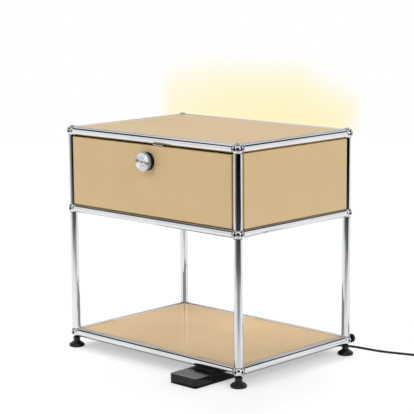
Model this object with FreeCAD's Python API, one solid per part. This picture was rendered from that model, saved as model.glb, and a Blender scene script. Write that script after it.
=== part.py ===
import FreeCAD, Part
import math
import os

# Bedside cabinet of chromed tubes and balls with folded sheet panels: a closed compartment with
# a drop-down, lockable door over an open shelf, on four glides. A light tube lies at the top of
# its back, fed through a round connector by a lead with a foot dimmer.
# +Z up, the door faces -Y, +X to the right; the origin is under the middle of the cabinet's own
# bounding box, on the floor.

# Grid, ball centre to ball centre
GRID_W = 500.0
GRID_D = 350.0
UPPER_H = 174.0
LOWER_H = 286.0
FLOOR_TO_BALL = 33.5

# Balls, their ports and the tubes
BALL_R = 12.5
PORT_R = 3.0
PORT_MOUTH_R = 4.5
PORT_FLOOR = 4.2
TUBE_R = 9.5
TUBE_WALL = 1.0
TUBE_END_CLEAR = 0.1

# Bolts and expanders in the tube ends
BOLT_R = 2.9
BOLT_TIP = 5.0
EXPANDER_CLEAR = 0.1
EXPANDER_START = 12.6
EXPANDER_LENGTH = 20.0

# Folded sheet panels
SHEET = 1.0
PANEL_BEND_IN = 1.0
PANEL_DEPTH = 16.0
PANEL_PROUD = 8.5
PANEL_GAP = 0.5

# Door
DOOR_PROUD = 8.8
DOOR_SIDE_GAP = 1.2
DOOR_TOP_GAP = 2.8
DOOR_LIFT = 1.2
DOOR_BEND_IN = 1.5
DOOR_DEPTH = 12.0
HINGE_INSET = 4.8

# Hinge arms, one at each end of the door's lower edge
ARM_SHEET = 1.2
ARM_SIDE_CLEAR = 0.8
ARM_EYE_R = 3.3
ARM_STOP_CLEAR = 0.3
ARM_BEND_ROOM = 0.6
ARM_WEB = 7.0
ARM_LEG_LENGTH = 16.0
ARM_TAB = 14.0
HINGE_PIN_R = 2.0
HINGE_PIN_CLEAR = 0.05
HINGE_PIN_END = 0.5

# Knob with its lock
KNOB_DROP = 46.0
KNOB_R = 20.0
KNOB_RIM = 5.5
KNOB_EDGE = 0.8
KNOB_REACH = 18.0
KNOB_WAIST_R = 13.0
ROSE_R = 19.5
ROSE_T = 2.5
SHANK_R = 10.0
SHANK_CLEAR = 0.05
SHANK_LENGTH = 9.0
NUT_R = 13.5
NUT_T = 5.0
LOCK_R = 8.0
LOCK_CLEAR = 0.08
LOCK_SINK = 0.4
KEYWAY_W = 7.5
KEYWAY_T = 1.6
KEYWAY_DEPTH = 11.0
KEYWAY_TILT = 12.0
TENON = 7.0
TENON_CLEAR = 0.05
CAM_T = 2.0
CAM_W = 12.0
CAM_HUB_R = 7.5
CAM_REACH = 30.0
CAM_SCREW_R = 5.0
CAM_SCREW_T = 1.8

# Keeper under the top front tube
KEEPER_T = 1.2
KEEPER_LEFT = 8.0
KEEPER_RIGHT = 42.0
LIP_LEFT = 12.0
KEEPER_DROP = 22.0
KEEPER_RISE = 5.0
LIP_FRONT = 5.0
KEEPER_CAM_CLEAR = 0.5
KEEPER_TUBE_CLEAR = 0.1

# Levelling glides
GLIDE_NECK_R = 7.25
GLIDE_BASE_R = 17.5
GLIDE_SHOULDER_R = 16.3
GLIDE_TOP_CLEAR = 0.1
GLIDE_NECK_END = 21.0
GLIDE_SHOULDER = 27.0
GLIDE_RIM = 29.0
GLIDE_CHAMFER = 1.2

# Light in the top back tube
SLOT_W = 7.0
SLOT_END = 35.0
LENS_CLEAR = 0.1
LENS_SINK = 0.2
LENS_T = 2.2
BOARD_H = 4.6
BOARD_T = 1.2
CHIP_W = 3.0
CHIP_T = 0.8
CHIP_PITCH = 25.0
LIGHT_TILT = 45.0

# Round connector on the bottom right ball, at the back
PLATE_R = 9.8
PLATE_START = 15.0
PLATE_T = 9.0
PLATE_EDGE = 1.5
STEM_R = 6.0
SPOUT_R = 3.6
SPOUT_REACH = 13.0

# Foot dimmer on the floor, from the grid's middle
DIMMER_LEFT = 120.0
DIMMER_W = 75.0
DIMMER_FRONT = -246.0
DIMMER_L = 133.0
DIMMER_H = 20.5
DIMMER_CORNER = 6.0
DIMMER_EDGE = 1.2
DIMMER_WALL = 2.2
BASE_T = 2.0
PEDAL_L = 57.5
PEDAL_SEAM = 0.8
PEDAL_LIFT = 2.2
PIVOT_BACK = 5.0
PIVOT_H = 11.0
PIVOT_R = 1.5
PIVOT_CLEAR = 0.06
EAR_T = 2.5
EAR_CLEAR = 0.4
EAR_R = 4.0

# Cord, its boots, its coil and its plug
CORD_R = 2.5
CORD_H = 8.0
BOOT_L = 22.0
BOOT_R = 4.6
BOOT_TIP_R = 3.3
LINK_X = 140.0
LEAD_X = 172.0
COIL_TURNS = 7
COIL_MIDDLE_R = 27.5
COIL_PITCH = 5.6
COIL_LAYER = 5.55
COIL_LIFT = 1.0
TIE_T = 0.8
TIE_W = 8.0
TIE_CLEAR = 0.2
PLUG_L = 34.0
PLUG_W = 26.0
PLUG_T = 13.0
PLUG_NECK_W = 12.0
PLUG_EDGE = 2.5
PIN_R = 2.0
PIN_L = 19.0
PIN_PITCH = 18.6
PIN_ROOT = 6.0

# Cord routes, from the grid's middle and the floor
LINK_ROUTE = [
    (237.0, 194.5, 33.5),
    (212.0, 194.5, 33.5),
    (187.0, 194.0, 27.5),
    (163.0, 189.5, 16.0),
    (144.0, 174.5, 6.0),
    (135.0, 147.0, 2.6),
    (131.0, 106.0, 2.5),
    (135.0, 57.0, 2.5),
    (141.0, 7.0, 2.5),
    (139.5, -34.0, 2.6),
    (140.0, -67.0, 8.0),
    (140.0, -91.0, 8.0),
]
LEAD_ROUTE = [
    (172.0, -91.0, 8.0),
    (172.0, -67.0, 8.0),
    (171.5, -34.0, 2.6),
    (169.0, 16.0, 2.5),
    (173.0, 65.0, 2.5),
    (171.0, 112.0, 2.5),
    (172.0, 157.0, 2.5),
    (178.5, 193.5, 2.5),
    (194.0, 219.0, 2.5),
    (218.0, 231.5, 2.5),
    (250.0, 236.5, 2.5),
    (294.0, 237.5, 2.5),
    (331.0, 246.0, 2.5),
    (369.0, 259.0, 2.7),
    (393.0, 263.0, 3.5),
    (413.5, 264.0, 3.5),
]
TAIL_RUN = 20.0
TAIL_OFFSETS = [
    (42.0, 3.0, -1.6),
    (58.0, 17.5, -2.55),
    (64.0, 38.0, -2.55),
]

OVER = 1.0

FRONT_REACH = GRID_D / 2 + DOOR_PROUD + KNOB_REACH
BACK_REACH = GRID_D / 2 + GLIDE_BASE_R
GRID_Y = (FRONT_REACH - BACK_REACH) / 2
LEFT = -GRID_W / 2
RIGHT = GRID_W / 2
FRONT = GRID_Y - GRID_D / 2
BACK = GRID_Y + GRID_D / 2
LOW = FLOOR_TO_BALL
MIDDLE = LOW + LOWER_H
TOP = MIDDLE + UPPER_H
SIDES = {"left": LEFT, "right": RIGHT}
ROWS = {"front": FRONT, "back": BACK}
LEVELS = {"bottom": LOW, "middle": MIDDLE, "top": TOP}

TUBE_END = TUBE_R + TUBE_END_CLEAR
PORT_MOUTH = math.sqrt(BALL_R ** 2 - PORT_MOUTH_R ** 2)
TUBE_IN_R = TUBE_R - TUBE_WALL
PANEL_EDGE = TUBE_R + PANEL_GAP
DOOR_FACE = FRONT - DOOR_PROUD
DOOR_BOTTOM = MIDDLE + TUBE_R + DOOR_LIFT
DOOR_TOP = TOP - TUBE_R - DOOR_TOP_GAP
DOOR_HALF = GRID_W / 2 - TUBE_R - DOOR_SIDE_GAP
HINGE_Y = DOOR_FACE + HINGE_INSET
HINGE_Z = DOOR_BOTTOM + HINGE_INSET
KNOB_Z = TOP - KNOB_DROP
KNOB_FRONT = DOOR_FACE - KNOB_REACH
KEEPER_FACE = FRONT + PANEL_EDGE + SHEET
CAM_FRONT = KEEPER_FACE + KEEPER_T + KEEPER_CAM_CLEAR
DIMMER_Y0 = GRID_Y + DIMMER_FRONT
DIMMER_Y1 = DIMMER_Y0 + DIMMER_L
SEAM_Y = DIMMER_Y0 + PEDAL_L
PIVOT_Y = SEAM_Y - PIVOT_BACK
COIL_OUT_R = COIL_MIDDLE_R + COIL_PITCH * COIL_TURNS / 4
COIL_IN_R = COIL_MIDDLE_R - COIL_PITCH * COIL_TURNS / 4

X_AXIS = FreeCAD.Vector(1, 0, 0)
Y_AXIS = FreeCAD.Vector(0, 1, 0)
Z_AXIS = FreeCAD.Vector(0, 0, 1)


def vec(x, y, z):
    return FreeCAD.Vector(x, y, z)


def block(x0, x1, y0, y1, z0, z1):
    return Part.makeBox(x1 - x0, y1 - y0, z1 - z0, vec(x0, y0, z0))


def rod(radius, start, end):
    return Part.makeCylinder(radius, (end - start).Length, start, end - start)


def turned(profile, origin, direction):
    """Solid of revolution from (radius, height) points, its axis laid along a direction."""
    points = [vec(radius, 0, height) for radius, height in profile]
    face = Part.Face(Part.makePolygon(points + [points[0]]))
    solid = face.revolve(vec(0, 0, 0), Z_AXIS, 360)
    solid.Placement = FreeCAD.Placement(origin, FreeCAD.Rotation(Z_AXIS, direction))
    return solid


def fillet_where(solid, radius, wanted):
    edges = [edge for edge in solid.Edges if wanted(edge)]
    return solid.makeFillet(radius, edges)


def along(edge, direction):
    ends = [vertex.Point for vertex in edge.Vertexes]
    if len(ends) < 2:
        return False
    return (ends[1] - ends[0]).normalize().cross(direction).Length < 1e-6


def lies_at(edge, axis, value):
    return all(abs(vertex.Point[axis] - value) < 1e-6 * GRID_W for vertex in edge.Vertexes)


def soft_block(length, width, depth, radius):
    """Block under z = 0, rounded at its upright edges and at the edges of its top face."""
    solid = block(-length / 2, length / 2, -width / 2, width / 2, -depth, 0)
    return fillet_where(solid, radius, lambda edge: not lies_at(edge, 2, -depth))


def pan(length, width, depth, bend_in):
    """Folded sheet with its face at z = 0 towards +Z and its rim below."""
    outer = soft_block(length, width, depth, bend_in + SHEET)
    inner = soft_block(length - 2 * SHEET, width - 2 * SHEET, depth, bend_in)
    inner.translate(vec(0, 0, -SHEET))
    return outer.cut(inner)


def placed(solid, axis, angle, centre):
    solid.rotate(vec(0, 0, 0), axis, angle)
    solid.translate(centre)
    return solid


def port(direction):
    chamfer = PORT_MOUTH_R - PORT_R
    profile = [
        (0, PORT_FLOOR),
        (PORT_R, PORT_FLOOR),
        (PORT_R, PORT_MOUTH - chamfer),
        (PORT_MOUTH_R, PORT_MOUTH),
        (PORT_MOUTH_R, BALL_R + OVER),
        (0, BALL_R + OVER),
    ]
    return turned(profile, vec(0, 0, 0), direction)


def ball():
    solid = Part.makeSphere(BALL_R)
    for axis in (X_AXIS, Y_AXIS, Z_AXIS):
        for direction in (axis, -axis):
            solid = solid.cut(port(direction))
    return solid


def balls(level):
    # A quarter turn lays each sphere's seam across its free port on the door's side.
    pattern = placed(ball(), Z_AXIS, -90, vec(0, 0, 0))
    centres = [vec(x, y, level) for x in SIDES.values() for y in ROWS.values()]
    return Part.makeCompound([pattern.translated(centre) for centre in centres])


def tube(start, end):
    direction = (end - start).normalize()
    first = start + direction * TUBE_END
    last = end - direction * TUBE_END
    return rod(TUBE_R, first, last).cut(rod(TUBE_IN_R, first, last))


def tube_spans():
    """Name of each tube with its two ball centres."""
    spans = {}
    for level, z in LEVELS.items():
        for row, y in ROWS.items():
            spans["tube_" + level + "_" + row] = (vec(LEFT, y, z), vec(RIGHT, y, z))
        for side, x in SIDES.items():
            spans["tube_" + level + "_" + side] = (vec(x, FRONT, z), vec(x, BACK, z))
    for side, x in SIDES.items():
        for row, y in ROWS.items():
            spans["post_lower_" + row + "_" + side] = (vec(x, y, LOW), vec(x, y, MIDDLE))
            spans["post_upper_" + row + "_" + side] = (vec(x, y, MIDDLE), vec(x, y, TOP))
    return spans


def connector(centre, direction):
    """Bolt in a ball's port with the expander that holds the tube."""
    radius = TUBE_IN_R - EXPANDER_CLEAR
    end = EXPANDER_START + EXPANDER_LENGTH
    bolt = [(0, BOLT_TIP), (BOLT_R, BOLT_TIP), (BOLT_R, EXPANDER_START)]
    expander = [(radius, EXPANDER_START), (radius, end), (0, end)]
    return turned(bolt + expander, centre, direction)


def connectors():
    solids = []
    for start, end in tube_spans().values():
        direction = (end - start).normalize()
        solids.append(connector(start, direction))
        solids.append(connector(end, -direction))
    return Part.makeCompound(solids)


def flat_panel(level):
    solid = pan(GRID_W - 2 * PANEL_EDGE, GRID_D - 2 * PANEL_EDGE, PANEL_DEPTH, PANEL_BEND_IN)
    solid.translate(vec(0, GRID_Y, level + PANEL_PROUD))
    return solid


def side_panel(side):
    solid = pan(UPPER_H - 2 * PANEL_EDGE, GRID_D - 2 * PANEL_EDGE, PANEL_DEPTH, PANEL_BEND_IN)
    out = 1 if side > 0 else -1
    return placed(solid, Y_AXIS, 90 * out, vec(side + PANEL_PROUD * out, GRID_Y, (MIDDLE + TOP) / 2))


def back_panel():
    solid = pan(GRID_W - 2 * PANEL_EDGE, UPPER_H - 2 * PANEL_EDGE, PANEL_DEPTH, PANEL_BEND_IN)
    return placed(solid, X_AXIS, -90, vec(0, BACK + PANEL_PROUD, (MIDDLE + TOP) / 2))


def door():
    solid = pan(2 * DOOR_HALF, DOOR_TOP - DOOR_BOTTOM, DOOR_DEPTH, DOOR_BEND_IN)
    solid = placed(solid, X_AXIS, 90, vec(0, DOOR_FACE, (DOOR_TOP + DOOR_BOTTOM) / 2))
    outside = vec(0, DOOR_FACE - OVER, KNOB_Z)
    shank = rod(SHANK_R + SHANK_CLEAR, outside, vec(0, DOOR_FACE + SHEET + OVER, KNOB_Z))
    reach = DOOR_HALF + OVER
    pins = rod(HINGE_PIN_R + HINGE_PIN_CLEAR, vec(-reach, HINGE_Y, HINGE_Z), vec(reach, HINGE_Y, HINGE_Z))
    return solid.cut(shank).cut(pins)


def hinge_arm(out):
    """Arm that holds the door's pin, reaching over the sweep of the door's lower flange.

    The flange comes to rest on the back of the arm's neck when the door is down.
    """
    flange_reach = math.hypot(DOOR_DEPTH - HINGE_INSET, HINGE_INSET)
    neck_back = HINGE_INSET - SHEET - ARM_STOP_CLEAR
    under = flange_reach + ARM_BEND_ROOM
    over = under + ARM_WEB
    leg = HINGE_Y + under
    shelf_top = MIDDLE + PANEL_PROUD
    inner = out * (DOOR_HALF - SHEET - ARM_SIDE_CLEAR - ARM_SHEET)
    outer = out * (DOOR_HALF - SHEET - ARM_SIDE_CLEAR)
    x0, x1 = min(inner, outer), max(inner, outer)
    foot_y = max(leg, FRONT + PANEL_EDGE + PANEL_BEND_IN + SHEET)
    arm = block(x0, x1, HINGE_Y - ARM_EYE_R, HINGE_Y + neck_back, HINGE_Z, HINGE_Z + over)
    arm = arm.fuse(rod(ARM_EYE_R, vec(x0, HINGE_Y, HINGE_Z), vec(x1, HINGE_Y, HINGE_Z)))
    leg_back = foot_y + ARM_LEG_LENGTH
    arm = arm.fuse(block(x0, x1, HINGE_Y - ARM_EYE_R, leg_back, HINGE_Z + under, HINGE_Z + over))
    arm = arm.fuse(block(x0, x1, foot_y, leg_back, shelf_top, HINGE_Z + over))
    tab = sorted((outer, outer - out * ARM_TAB))
    arm = arm.fuse(block(tab[0], tab[1], foot_y, foot_y + ARM_LEG_LENGTH, shelf_top, shelf_top + ARM_SHEET))
    pin_end = out * (DOOR_HALF + HINGE_PIN_END)
    arm = arm.fuse(rod(HINGE_PIN_R, vec(inner, HINGE_Y, HINGE_Z), vec(pin_end, HINGE_Y, HINGE_Z)))
    return arm.removeSplitter()


def knob():
    """Turned knob: rose on the door, waist, rim, and the shank through the door."""
    bore = LOCK_R + LOCK_CLEAR
    rim_back = KNOB_REACH - KNOB_RIM
    profile = [
        (bore, -SHEET - SHANK_LENGTH),
        (SHANK_R, -SHEET - SHANK_LENGTH),
        (SHANK_R, 0),
        (ROSE_R, 0),
        (ROSE_R, ROSE_T),
        (KNOB_WAIST_R, (ROSE_T + rim_back) / 2),
        (KNOB_R, rim_back),
        (KNOB_R, KNOB_REACH - KNOB_EDGE),
        (KNOB_R - KNOB_EDGE, KNOB_REACH),
        (bore, KNOB_REACH),
    ]
    return turned(profile, vec(0, DOOR_FACE, KNOB_Z), -Y_AXIS)


def lock_nut():
    inside = DOOR_FACE + SHEET
    nut = rod(NUT_R, vec(0, inside, KNOB_Z), vec(0, inside + NUT_T, KNOB_Z))
    hole_end = vec(0, inside + NUT_T + OVER, KNOB_Z)
    return nut.cut(rod(SHANK_R + SHANK_CLEAR, vec(0, inside - OVER, KNOB_Z), hole_end))


def lock_cylinder():
    face = KNOB_FRONT + LOCK_SINK
    body = rod(LOCK_R, vec(0, face, KNOB_Z), vec(0, CAM_FRONT, KNOB_Z))
    low = KNOB_Z - KEYWAY_T / 2
    half = KEYWAY_W / 2
    keyway = block(-half, half, face - OVER, face + KEYWAY_DEPTH, low, low + KEYWAY_T)
    keyway.rotate(vec(0, face, KNOB_Z), Y_AXIS, KEYWAY_TILT)
    cam_back = CAM_FRONT + CAM_T
    tenon = block(-TENON / 2, TENON / 2, CAM_FRONT, cam_back, KNOB_Z - TENON / 2, KNOB_Z + TENON / 2)
    head = rod(CAM_SCREW_R, vec(0, cam_back, KNOB_Z), vec(0, cam_back + CAM_SCREW_T, KNOB_Z))
    return body.cut(keyway).fuse(tenon).fuse(head).removeSplitter()


def latch_cam():
    """Latch turned clear of the keeper, to the right."""
    back = CAM_FRONT + CAM_T
    hub = rod(CAM_HUB_R, vec(0, CAM_FRONT, KNOB_Z), vec(0, back, KNOB_Z))
    arm = block(0, CAM_REACH, CAM_FRONT, back, KNOB_Z - CAM_W / 2, KNOB_Z + CAM_W / 2)
    half = TENON / 2 + TENON_CLEAR
    hole = block(-half, half, CAM_FRONT - OVER, back + OVER, KNOB_Z - half, KNOB_Z + half)
    return hub.fuse(arm).cut(hole).removeSplitter()


def keeper():
    """Bent plate on the top panel's front rim: a tongue for the latch and a lip under the tube."""
    lip_top = TOP - TUBE_R - KEEPER_TUBE_CLEAR
    back = KEEPER_FACE + KEEPER_T
    tongue = block(-KEEPER_LEFT, KEEPER_RIGHT, KEEPER_FACE, back, TOP - KEEPER_DROP, TOP + KEEPER_RISE)
    lip = block(LIP_LEFT, KEEPER_RIGHT, FRONT - LIP_FRONT, back, lip_top - KEEPER_T, lip_top)
    return tongue.fuse(lip).removeSplitter()


def glide(x, y):
    profile = [
        (0, BOLT_TIP),
        (BOLT_R, BOLT_TIP),
        (BOLT_R, PORT_MOUTH + GLIDE_TOP_CLEAR),
        (GLIDE_NECK_R, PORT_MOUTH + GLIDE_TOP_CLEAR),
        (GLIDE_NECK_R, GLIDE_NECK_END),
        (GLIDE_SHOULDER_R, GLIDE_SHOULDER),
        (GLIDE_BASE_R, GLIDE_RIM),
        (GLIDE_BASE_R, FLOOR_TO_BALL - GLIDE_CHAMFER),
        (GLIDE_BASE_R - GLIDE_CHAMFER, FLOOR_TO_BALL),
        (0, FLOOR_TO_BALL),
    ]
    return turned(profile, vec(x, y, LOW), -Z_AXIS)


def tilted_back(solid):
    """Turn a solid made over the top back tube's axis towards the light's direction."""
    solid.rotate(vec(0, BACK, TOP), X_AXIS, -LIGHT_TILT)
    return solid


def light_slot(clear, low):
    x = RIGHT - SLOT_END - clear
    half = SLOT_W / 2 - clear
    return block(-x, x, BACK - half, BACK + half, TOP + low, TOP + TUBE_R + OVER)


def light_tube():
    shell = tube(vec(LEFT, BACK, TOP), vec(RIGHT, BACK, TOP))
    return shell.cut(tilted_back(light_slot(0, TUBE_IN_R / 2)))


def light_diffuser():
    outer_r = TUBE_R - LENS_SINK
    ends = (vec(LEFT, BACK, TOP), vec(RIGHT, BACK, TOP))
    ring = rod(outer_r, ends[0], ends[1]).cut(rod(outer_r - LENS_T, ends[0], ends[1]))
    return ring.common(tilted_back(light_slot(LENS_CLEAR, TUBE_IN_R / 2)))


def led_strip():
    x = RIGHT - SLOT_END - LENS_CLEAR
    half = math.sqrt(TUBE_IN_R ** 2 - BOARD_H ** 2) - LENS_CLEAR
    solid = block(-x, x, BACK - half, BACK + half, TOP + BOARD_H - BOARD_T, TOP + BOARD_H)
    count = int(2 * x / CHIP_PITCH)
    low = TOP + BOARD_H
    side = CHIP_W / 2
    for index in range(count):
        middle = (index - (count - 1) / 2) * CHIP_PITCH
        chip = block(middle - side, middle + side, BACK - side, BACK + side, low, low + CHIP_T)
        solid = solid.fuse(chip)
    return tilted_back(solid.removeSplitter())


def power_connector():
    centre = vec(RIGHT, BACK, LOW)
    end = PLATE_START + PLATE_T
    start = PORT_MOUTH + GLIDE_TOP_CLEAR
    profile = [
        (0, BOLT_TIP),
        (BOLT_R, BOLT_TIP),
        (BOLT_R, start),
        (STEM_R, start),
        (STEM_R, PLATE_START),
        (PLATE_R, PLATE_START),
        (PLATE_R, end - PLATE_EDGE),
        (PLATE_R - PLATE_EDGE, end),
        (0, end),
    ]
    spout_y = BACK + PLATE_START + PLATE_T / 2
    spout = rod(SPOUT_R, vec(RIGHT, spout_y, LOW), vec(RIGHT - SPOUT_REACH, spout_y, LOW))
    return turned(profile, centre, Y_AXIS).fuse(spout).removeSplitter()


def dimmer_outline(inset, z0, z1):
    """Rounded block of the dimmer's outline, drawn in by an inset."""
    right = DIMMER_LEFT + DIMMER_W
    solid = block(DIMMER_LEFT + inset, right - inset, DIMMER_Y0 + inset, DIMMER_Y1 - inset, z0, z1)
    return fillet_where(solid, DIMMER_CORNER - inset, lambda edge: along(edge, Z_AXIS))


def dimmer_shell(bottom):
    """Cover of the dimmer's whole outline with a softened top edge, hollow from below."""
    outer = dimmer_outline(0, bottom, DIMMER_H)
    outer = fillet_where(outer, DIMMER_EDGE, lambda edge: lies_at(edge, 2, DIMMER_H))
    return outer.cut(dimmer_outline(DIMMER_WALL, bottom - OVER, DIMMER_H - DIMMER_WALL))


def dimmer_slice(y0, y1):
    return block(DIMMER_LEFT - OVER, DIMMER_LEFT + DIMMER_W + OVER, y0, y1, -OVER, DIMMER_H + OVER)


def dimmer_housing():
    """Rear cover, closed at the seam by a wall of its own."""
    body = dimmer_shell(BASE_T).common(dimmer_slice(SEAM_Y + PEDAL_SEAM / 2, DIMMER_Y1 + OVER))
    left = DIMMER_LEFT + DIMMER_WALL / 2
    right = DIMMER_LEFT + DIMMER_W - DIMMER_WALL / 2
    wall_y = SEAM_Y + PEDAL_SEAM / 2
    wall = block(left, right, wall_y, wall_y + DIMMER_WALL, BASE_T, DIMMER_H - DIMMER_WALL / 2)
    return body.fuse(wall).removeSplitter()


def pivot_rod(radius, inset):
    start = vec(DIMMER_LEFT + inset, PIVOT_Y, PIVOT_H)
    return rod(radius, start, vec(DIMMER_LEFT + DIMMER_W - inset, PIVOT_Y, PIVOT_H))


def dimmer_pedal():
    body = dimmer_shell(BASE_T + PEDAL_LIFT).common(dimmer_slice(DIMMER_Y0 - OVER, SEAM_Y - PEDAL_SEAM / 2))
    return body.cut(pivot_rod(PIVOT_R + PIVOT_CLEAR, DIMMER_WALL / 2))


def dimmer_base():
    """Floor plate with two ears for the pedal's pin."""
    solid = dimmer_outline(0, 0, BASE_T)
    for side in (1, -1):
        middle = DIMMER_LEFT + DIMMER_W / 2
        outer = middle + side * (DIMMER_W / 2 - DIMMER_WALL - EAR_CLEAR)
        x0, x1 = sorted((outer, outer - side * EAR_T))
        ear = block(x0, x1, PIVOT_Y - EAR_R, PIVOT_Y + EAR_R, BASE_T / 2, PIVOT_H)
        ear = ear.fuse(rod(EAR_R, vec(x0, PIVOT_Y, PIVOT_H), vec(x1, PIVOT_Y, PIVOT_H)))
        solid = solid.fuse(ear)
    return solid.cut(pivot_rod(PIVOT_R, DIMMER_WALL)).removeSplitter()


def dimmer_pin():
    return pivot_rod(PIVOT_R, DIMMER_WALL / 2 + PIVOT_CLEAR)


def boot(start, direction):
    ring = (BOOT_R - BOOT_TIP_R) / 2
    thick_end = [(0, 0), (BOOT_R, 0), (BOOT_R, ring)]
    thin_end = [(BOOT_TIP_R + ring, BOOT_L / 2), (BOOT_TIP_R, BOOT_L), (0, BOOT_L)]
    return turned(thick_end + thin_end, start, direction)


def route(points):
    return [vec(x, y + GRID_Y, z) for x, y, z in points]


def rounded_path(points, name):
    """Straight runs joined by tangent arcs, each as large as its two runs allow."""
    edges = []
    start = points[0]
    radii = []
    for before, corner, after in zip(points, points[1:], points[2:]):
        run_in = (corner - before).Length
        run_out = (after - corner).Length
        to_before = (before - corner).normalize()
        to_after = (after - corner).normalize()
        turn = math.pi - to_before.getAngle(to_after)
        setback = 0.45 * min(run_in, run_out)
        radius = setback / math.tan(turn / 2)
        radii.append(radius)
        first = corner + to_before * setback
        last = corner + to_after * setback
        bisector = (to_before + to_after).normalize()
        centre = corner + bisector * math.hypot(setback, radius)
        middle = centre - bisector * radius
        edges.append(Part.LineSegment(start, first).toShape())
        edges.append(Part.Arc(first, middle, last).toShape())
        start = last
    edges.append(Part.LineSegment(start, points[-1]).toShape())
    runs = [round((b - a).Length, 1) for a, b in zip(points, points[1:])]
    print(name, "least radius", round(min(radii), 1), "runs", runs)
    return Part.Wire(edges)


def swept(path, name):
    start = path.Edges[0].Vertexes[0].Point
    direction = path.Edges[0].tangentAt(path.Edges[0].FirstParameter)
    section = Part.Wire(Part.makeCircle(CORD_R, start, direction))
    solid = path.makePipeShell([section], True, False)
    ratio = solid.Volume / (math.pi * CORD_R ** 2 * path.Length)
    print(name, "length", round(path.Length, 1), "volume ratio", round(ratio, 4))
    return solid


def coil_centre():
    end = route(LEAD_ROUTE)[-1]
    lean = coil_lean(0)
    start = vec(end.x + 2 * CORD_R, end.y, CORD_R + COIL_LIFT)
    return vec(start.x + COIL_OUT_R * math.sin(lean), start.y + COIL_OUT_R * math.cos(lean), start.z)


def coil_radius(turn):
    return COIL_OUT_R - COIL_PITCH * min(turn, COIL_TURNS - turn)


def coil_lean(turn):
    """Angle between the spiral and a circle."""
    return math.atan(COIL_PITCH / (2 * math.pi * coil_radius(turn)))


def coil_point(turn):
    """Place in the coil after a number of turns; the spiral goes in, climbs and comes out."""
    angle = 2 * math.pi * turn - math.pi / 2 - coil_lean(0)
    climb_share = min(max(2 * (turn - COIL_TURNS / 2) + 0.5, 0), 1)
    rise = COIL_LAYER * climb_share ** 2 * (3 - 2 * climb_share)
    centre = coil_centre()
    radius = coil_radius(turn)
    return centre + vec(radius * math.cos(angle), radius * math.sin(angle), rise)


def coil_tangent(turn):
    step_share = 1e-4
    before = max(turn - step_share, 0)
    after = min(turn + step_share, COIL_TURNS)
    return (coil_point(after) - coil_point(before)).normalize()


def biarc(start, start_dir, end, end_dir):
    """Two tangent arcs from one point and direction to another."""
    chord = end - start
    total = start_dir + end_dir
    a = 2 * (1 - start_dir.dot(end_dir))
    b = 2 * chord.dot(total)
    reach = (-b + math.sqrt(b * b + 4 * a * chord.dot(chord))) / (2 * a)
    knot = (start + start_dir * reach + end - end_dir * reach) / 2
    return [arc_from(start, start_dir, knot), arc_from(end, -end_dir, knot)]


def arc_from(start, direction, end):
    """Arc that leaves its start in a direction and ends at a point."""
    chord = end - start
    side = chord - direction * chord.dot(direction)
    radius = chord.dot(chord) / (2 * side.Length)
    centre = start + side.normalize() * radius
    half = ((start + end) / 2 - centre).normalize()
    return Part.Arc(start, centre + half * radius, end).toShape()


def coil_path():
    steps = [0.25 * index for index in range(4 * COIL_TURNS + 1)]
    first = coil_point(0)
    last = coil_point(COIL_TURNS)
    straight = 2 * CORD_R
    edges = [Part.LineSegment(first - coil_tangent(0) * straight, first).toShape()]
    for before, after in zip(steps, steps[1:]):
        edges += biarc(coil_point(before), coil_tangent(before), coil_point(after), coil_tangent(after))
    edges.append(Part.LineSegment(last, last + coil_tangent(COIL_TURNS) * straight).toShape())
    return Part.Wire(Part.__sortEdges__(edges))


def coil_gap(path):
    """Least gap between one stretch of the coil and another, measured on points."""
    points = path.discretize(Number=160 * COIL_TURNS)
    skip = 40
    least = min((a - b).Length for i, a in enumerate(points) for b in points[i + skip:])
    return least - 2 * CORD_R


def lead_coil():
    path = coil_path()
    print("coil least gap", round(coil_gap(path), 3))
    return swept(path, "lead_coil")


def coil_end():
    return coil_point(COIL_TURNS) + coil_tangent(COIL_TURNS) * 2 * CORD_R


def tail_route():
    start = coil_end()
    second = start + coil_tangent(COIL_TURNS) * TAIL_RUN
    return [start, second] + [start + vec(x, y, z) for x, y, z in TAIL_OFFSETS]


def tail_direction():
    points = tail_route()
    return (points[-1] - points[-2]).normalize()


def coil_tie():
    """Band round the turns on the side away from the lead."""
    centre = coil_centre()
    low = TIE_T
    high = centre.z + COIL_LAYER + CORD_R + TIE_CLEAR
    half = TIE_W / 2
    near = centre.y + math.sqrt((COIL_IN_R - CORD_R) ** 2 - half ** 2) - TIE_CLEAR
    far = centre.y + COIL_OUT_R + CORD_R + TIE_CLEAR
    outer = block(centre.x - half, centre.x + half, near - TIE_T, far + TIE_T, 0, high + TIE_T)
    outer = fillet_where(outer, 2 * TIE_T, lambda edge: along(edge, X_AXIS))
    inner = block(centre.x - TIE_W, centre.x + TIE_W, near, far, low, high)
    inner = fillet_where(inner, TIE_T, lambda edge: along(edge, X_AXIS))
    return outer.cut(inner)


def plug_frame(solid):
    """Lay a plug piece, made from the origin along +X, at the end of the cord's tail."""
    points = tail_route()
    heading = tail_direction()
    angle = math.degrees(math.atan2(heading.y, heading.x))
    return placed(solid, Z_AXIS, angle, points[-1])


def plug_boot():
    return plug_frame(boot(vec(0, 0, 0), X_AXIS).mirror(vec(BOOT_L / 2, 0, 0), X_AXIS))


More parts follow.
